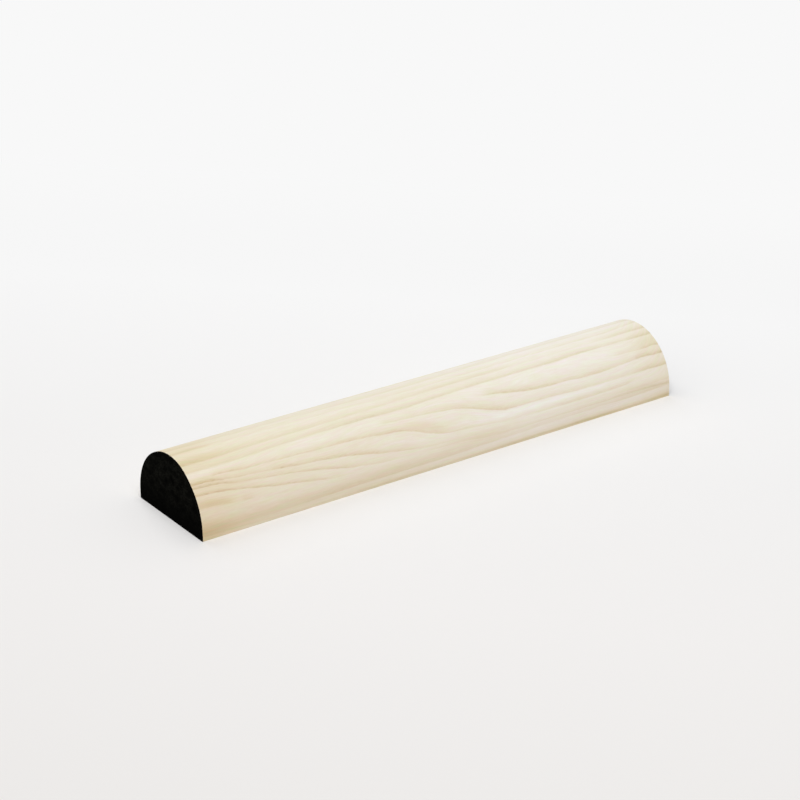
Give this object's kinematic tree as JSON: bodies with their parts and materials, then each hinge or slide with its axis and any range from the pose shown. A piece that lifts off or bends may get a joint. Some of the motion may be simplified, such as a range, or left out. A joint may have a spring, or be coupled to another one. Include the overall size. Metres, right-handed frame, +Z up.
{
  "type": "half-round moulding",
  "caption": "Half-round wood moulding: a black fibreboard core with pale ash veneer bent over the curve and the short straight sides, and a bare flat back.",
  "frame": {"origin": "on the flat back, in the middle of the length and of the width", "axes": "+X along the length, +Y across the width, +Z up from the flat back to the crown of the curve"},
  "size_m": [0.2, 0.04, 0.023],
  "materials": {
    "core": "matt, through-dyed black",
    "veneer": "satin, pale ash grain"
  },
  "bodies": {
    "root": {"fibreboard_core": "core", "ash_veneer": "veneer"}
  },
  "joints": []
}
